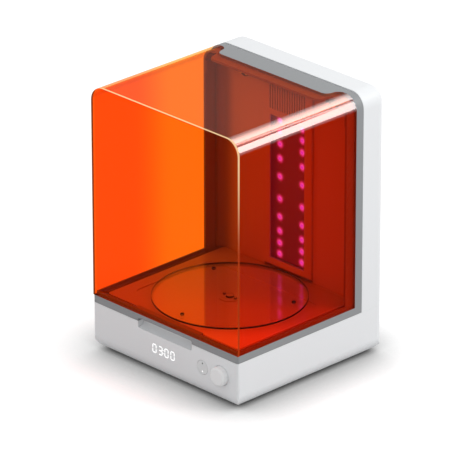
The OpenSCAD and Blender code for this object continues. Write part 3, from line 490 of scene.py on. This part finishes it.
def buttonAbs():
    # The button's satin cap: its bevelled rim gets painted shade, for the shade of the front wall
    material, tree = newMaterial("buttonCapAbs")
    low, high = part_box("mode_button")
    radius = (high[0] - low[0]) / 2
    at = placeOn(tree)
    across = add(tree, "Math", {0: at["X"], 1: (low[0] + high[0]) / 2}, operation="SUBTRACT").outputs[0]
    up = add(tree, "Math", {0: at["Z"], 1: (low[2] + high[2]) / 2}, operation="SUBTRACT").outputs[0]
    shade = add(tree, "MapRange", {"Value": distanceFrom(tree, across, up),
                                   "From Min": radius - button["rim"][0],
                                   "From Max": radius - button["rim"][1]}, **softly).outputs["Result"]
    colour = add(tree, "Mix", {0: shade, 6: linear(button["cap"]), 7: linear(button["shade"])},
                 **tinted).outputs[2]
    shader = add(tree, "BsdfPrincipled", {"Base Color": colour, "Roughness": button["roughness"],
                                          "Normal": grainBump(tree, button["grain"])}).outputs["BSDF"]
    add(tree, "OutputMaterial", {"Surface": shader})
    return material


def indicatorLens():
    # Of the two indicator lights the lower one is on
    material, tree = newMaterial("indicatorLights")
    low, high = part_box("button_lights")
    at = placeOn(tree)
    upper = add(tree, "Math", {0: at["Z"], 1: (low[2] + high[2]) / 2}, operation="GREATER_THAN").outputs[0]
    lit = add(tree, "Emission", {"Color": white, "Strength": button["litStrength"]}).outputs["Emission"]
    dark = add(tree, "BsdfPrincipled", {
        "Base Color": linear(button["unlit"]), "Roughness": button["unlitRoughness"]}).outputs["BSDF"]
    shader = add(tree, "MixShader", {0: upper, 1: lit, 2: dark}).outputs["Shader"]
    add(tree, "OutputMaterial", {"Surface": shader})
    return material


lenses = {
    "lampLensGlow": {"colour": (1, 0.3, 22, 1), "strength": 1},
    "litLightGuide": {"colour": white, "strength": 1.2},
}


def glow(name):
    # A lit lens or light guide
    material, tree = newMaterial(name)
    lens = lenses[name]
    light = add(tree, "Emission", {"Color": lens["colour"], "Strength": lens["strength"]}).outputs["Emission"]
    add(tree, "OutputMaterial", {"Surface": light})
    return material


lightGuide = glow("litLightGuide")
dress(lightGuide, "display_digits")
dress(glow("lampLensGlow"), "leds")
dress(litSolderMask(), "led_board")
dress(buttonAbs(), "mode_button")
dress(indicatorLens(), "button_lights")
print("lamps, display and button lit")

# The two lit dots between hours and minutes

colon = {
    "x": -0.00245,
    "heights": (0.0347, 0.0389),
    "radius": 0.0006,
    "out": 0.00012,            # how far the dots stand out of the front wall
    "segments": 20,
}


def makeColon():
    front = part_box("base_shell")[0][1]
    mesh = bpy.data.meshes.new("displayColon")
    solid = bmesh.new()
    for height in colon["heights"]:
        place = Matrix.Translation((colon["x"], front, height)) @ Matrix.Rotation(pi / 2, 4, "X")
        bmesh.ops.create_cone(solid, cap_ends=True, segments=colon["segments"], radius1=colon["radius"],
                              radius2=colon["radius"], depth=2 * colon["out"], matrix=place)
    solid.to_mesh(mesh)
    solid.free()
    mesh.materials.append(lightGuide)
    dots = bpy.data.objects.new("displayColon", mesh)
    scene.collection.objects.link(dots)
    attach(dots, "root")


makeColon()
print("colon made")

# Studio

studio = {
    "floorSize": 24,           # metres across
    "fill": 0.85,              # even light from all round
    "floorBounce": 0.55,       # what the paper gives back to the object
    "floorGlow": 0.76,         # lifts the paper to white in the picture
    "floorShade": 0.4,         # how much of the lamps' shadow the paper shows
    "contactReach": 0.078,     # metres over which a painted contact shadow darkens the paper round the object
    "contactDepth": 1.2,
    "keyDirection": (0.66, 0.41, 0.63),
    "keyDistance": 2.2,
    "keySize": 0.55,
    "keyPower": 16,
}

# Strip lamps that only the polished amber mirrors; directions are seen from the right bend, and
# fade is the share of the width over which a lamp's far end fades out
stripLamps = {
    "overhead": {"direction": (-0.212, 0.64, 0.738), "distance": 1.6, "size": (1.53, 0.75),
                 "radiance": 4.6, "fade": 0.8},
    "middle": {"direction": (0.372, 0.64, 0.672), "distance": 1, "size": (0.12, 0.6),
               "radiance": 3, "fade": 0},
    "side": {"direction": (0.72, 0.64, 0.268), "distance": 0.7, "size": (0.46, 0.42),
             "radiance": 5.4, "fade": 0},
}


def seenDirectly(tree):
    # 1 for the camera, and for what shows in gloss and glass
    ray = add(tree, "LightPath").outputs
    seen = ray["Is Camera Ray"]
    for other in ("Is Glossy Ray", "Is Transmission Ray"):
        seen = add(tree, "Math", {0: seen, 1: ray[other]}, operation="MAXIMUM").outputs[0]
    return seen


def makeWorld():
    world = bpy.data.worlds.new("studio")
    world.use_nodes = True
    tree = world.node_tree
    tree.nodes.clear()
    strength = add(tree, "MapRange", {"Value": seenDirectly(tree), "To Min": studio["fill"], "To Max": 1})
    light = add(tree, "Background", {"Color": white, "Strength": strength.outputs["Result"]})
    add(tree, "OutputWorld", {"Surface": light.outputs["Background"]})
    scene.world = world


def palePaper():
    # Matt white paper that keeps the object's shadow, with a painted contact shadow close to it; what it
    # sends back to the object is set apart from how it looks
    material, tree = newMaterial("palePaperFloor")
    shade, bounce = studio["floorShade"], studio["floorBounce"]
    contactShadow = add(tree, "AmbientOcclusion", {"Distance": studio["contactReach"]}, samples=8).outputs["AO"]
    contactShadow = add(tree, "Math", {0: contactShadow, 1: studio["contactDepth"]}, operation="POWER").outputs[0]
    tone = add(tree, "Mix", {0: contactShadow, 6: black, 7: (shade, shade, shade, 1)}, **tinted).outputs[2]
    paper = add(tree, "BsdfDiffuse", {"Color": tone}).outputs["BSDF"]
    lift = add(tree, "Math", {0: contactShadow, 1: studio["floorGlow"]}, operation="MULTIPLY").outputs[0]
    lift = add(tree, "Emission", {"Color": white, "Strength": lift}).outputs["Emission"]
    shown = add(tree, "AddShader", {0: paper, 1: lift}).outputs["Shader"]
    sentBack = add(tree, "BsdfDiffuse", {"Color": (bounce, bounce, bounce, 1)}).outputs["BSDF"]
    shader = add(tree, "MixShader", {0: seenDirectly(tree), 1: sentBack, 2: shown}).outputs["Shader"]
    add(tree, "OutputMaterial", {"Surface": shader})
    return material


def makeFloor():
    bpy.ops.mesh.primitive_plane_add(size=studio["floorSize"])
    floor = bpy.context.object
    floor.name = "paleFloor"
    floor.data.materials.append(palePaper())


def makeLamp(name, origin, direction, distance, size, power):
    data = bpy.data.lights.new(name, "AREA")
    data.shape = "RECTANGLE"
    data.size, data.size_y = size
    data.energy = power
    lamp = bpy.data.objects.new(name, data)
    direction = Vector(direction).normalized()
    lamp.location = Vector(origin) + direction * distance
    lamp.rotation_euler = direction.to_track_quat("Z", "Y").to_euler()
    scene.collection.objects.link(lamp)
    return lamp


def fadeFarEnd(lamp, share):
    # The mirrored band gets its soft upper edge from this
    lamp.data.use_nodes = True
    tree = lamp.data.node_tree
    tree.nodes.clear()
    across = add(tree, "NewGeometry").outputs["Parametric"]
    along = add(tree, "SeparateXYZ", {0: across}).outputs[0]
    fade = add(tree, "MapRange", {"Value": along, "From Min": 1, "From Max": 1 - share}, **softly)
    light = add(tree, "Emission", {"Color": white, "Strength": fade.outputs["Result"]}).outputs["Emission"]
    add(tree, "OutputLight", {"Surface": light})


def makeStripLamps():
    mirrored = bpy.data.collections.new("mirroredInAmber")
    for name in ("canopy", "front_panel"):
        mirrored.objects.link(parts[name])
    low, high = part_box("canopy")
    bend = (high[0], (low[1] + high[1]) / 2, high[2])
    for name, strip in stripLamps.items():
        width, height = strip["size"]
        power = strip["radiance"] * width * height * pi
        lamp = makeLamp(name + "Strip", bend, strip["direction"], strip["distance"], strip["size"], power)
        if strip["fade"]:
            fadeFarEnd(lamp, strip["fade"])
        lamp.visible_camera = lamp.visible_diffuse = lamp.visible_transmission = False
        lamp.light_linking.receiver_collection = mirrored


makeWorld()
makeFloor()
makeLamp("keyLamp", viewpoint["target"], studio["keyDirection"], studio["keyDistance"],
         (studio["keySize"], studio["keySize"]), studio["keyPower"])
makeStripLamps()
print("studio lit")
